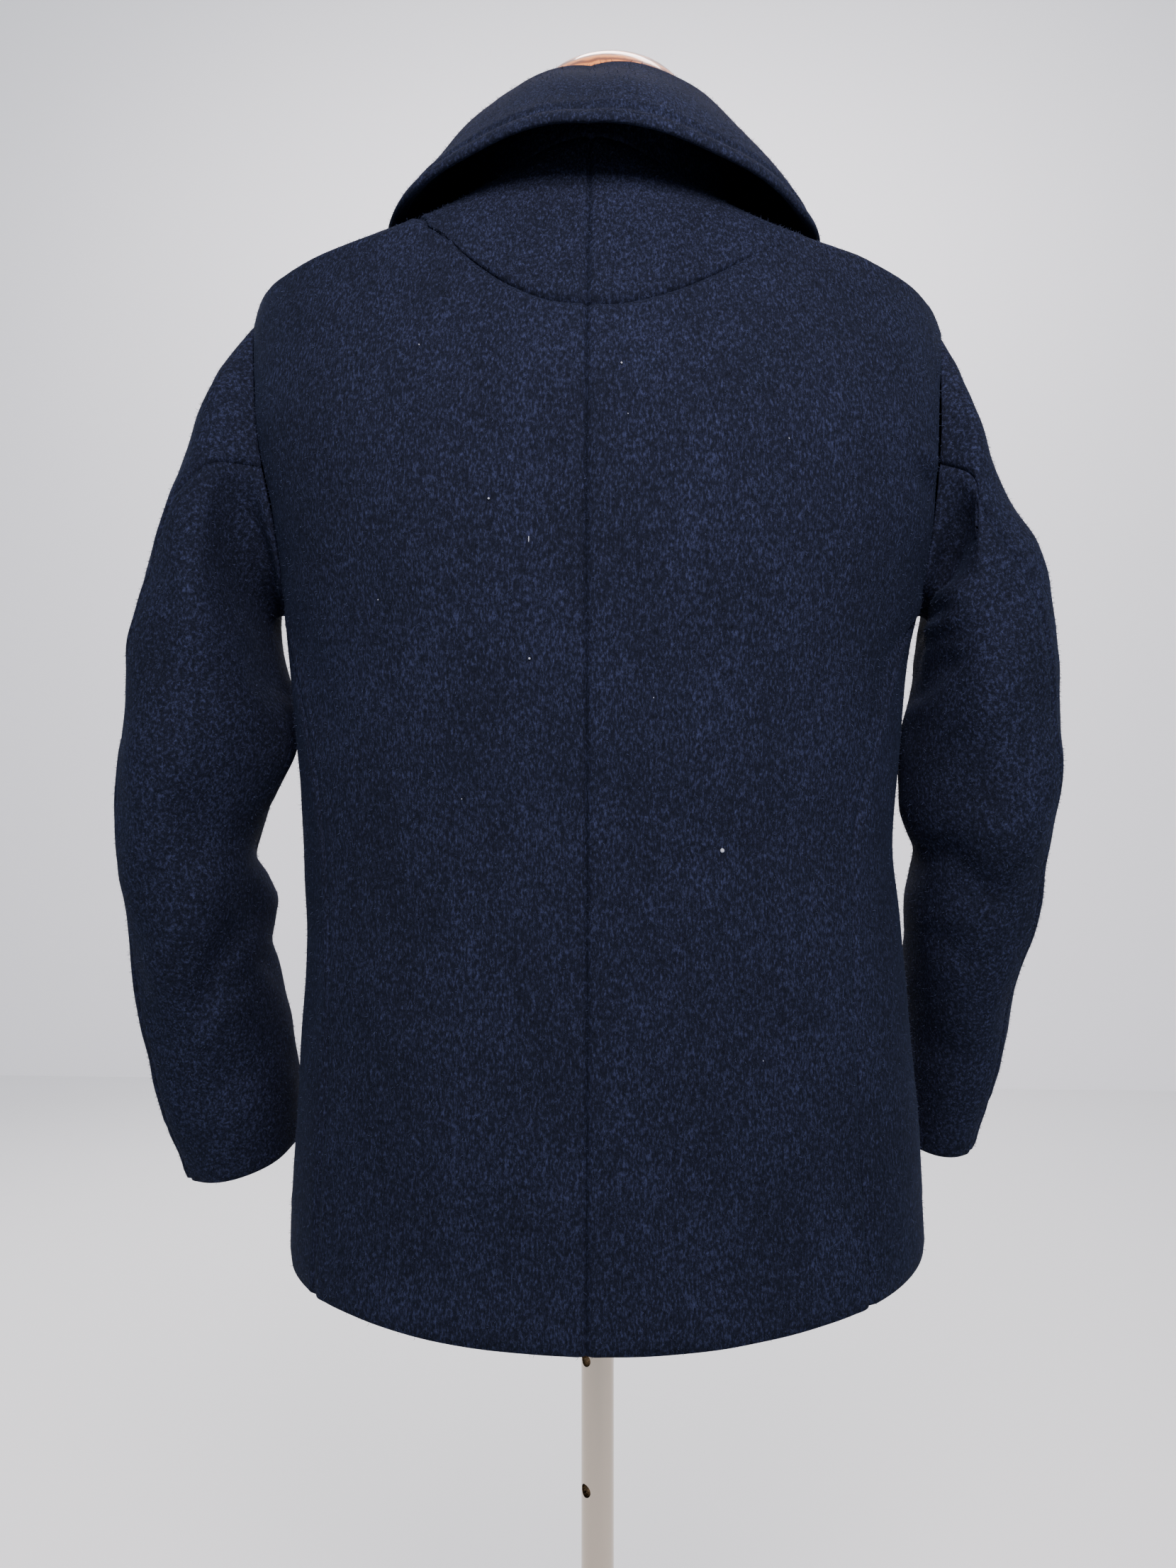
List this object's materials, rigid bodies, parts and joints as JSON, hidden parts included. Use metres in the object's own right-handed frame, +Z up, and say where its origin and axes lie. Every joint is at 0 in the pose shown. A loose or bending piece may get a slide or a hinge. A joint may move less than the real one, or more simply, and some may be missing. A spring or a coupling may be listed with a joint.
{
  "type": "work jacket on a dress form",
  "caption": "Heavy wool work jacket with a wide turned-down collar, half-moon yoke and two-piece sleeves, worn by a limbless dress form on a chrome pole.",
  "frame": {"origin": "on the floor under the pole, at the middle of the base's underside", "axes": "+Z up along the pole; -Y the way the jacket's front faces; +X the wearer's left"},
  "size_m": [0.6088, 0.31, 1.484],
  "materials": {
    "wool": "matte",
    "horn": "satin",
    "linen": "matte",
    "lacquered_wood": "gloss",
    "chrome": "polished"
  },
  "bodies": {
    "root": {"back_left": "wool", "back_right": "wool", "yoke_left": "wool", "yoke_right": "wool", "front_left": "wool", "front_right": "wool", "sleeve_top_left": "wool", "sleeve_top_right": "wool", "sleeve_under_left": "wool", "sleeve_under_right": "wool", "collar": "wool", "button_1": "horn", "button_2": "horn", "button_3": "horn", "button_4": "horn", "button_5": "horn", "form_torso": "linen", "form_neck_cap": "lacquered_wood", "form_pole": "chrome", "form_base": "chrome"}
  },
  "joints": []
}
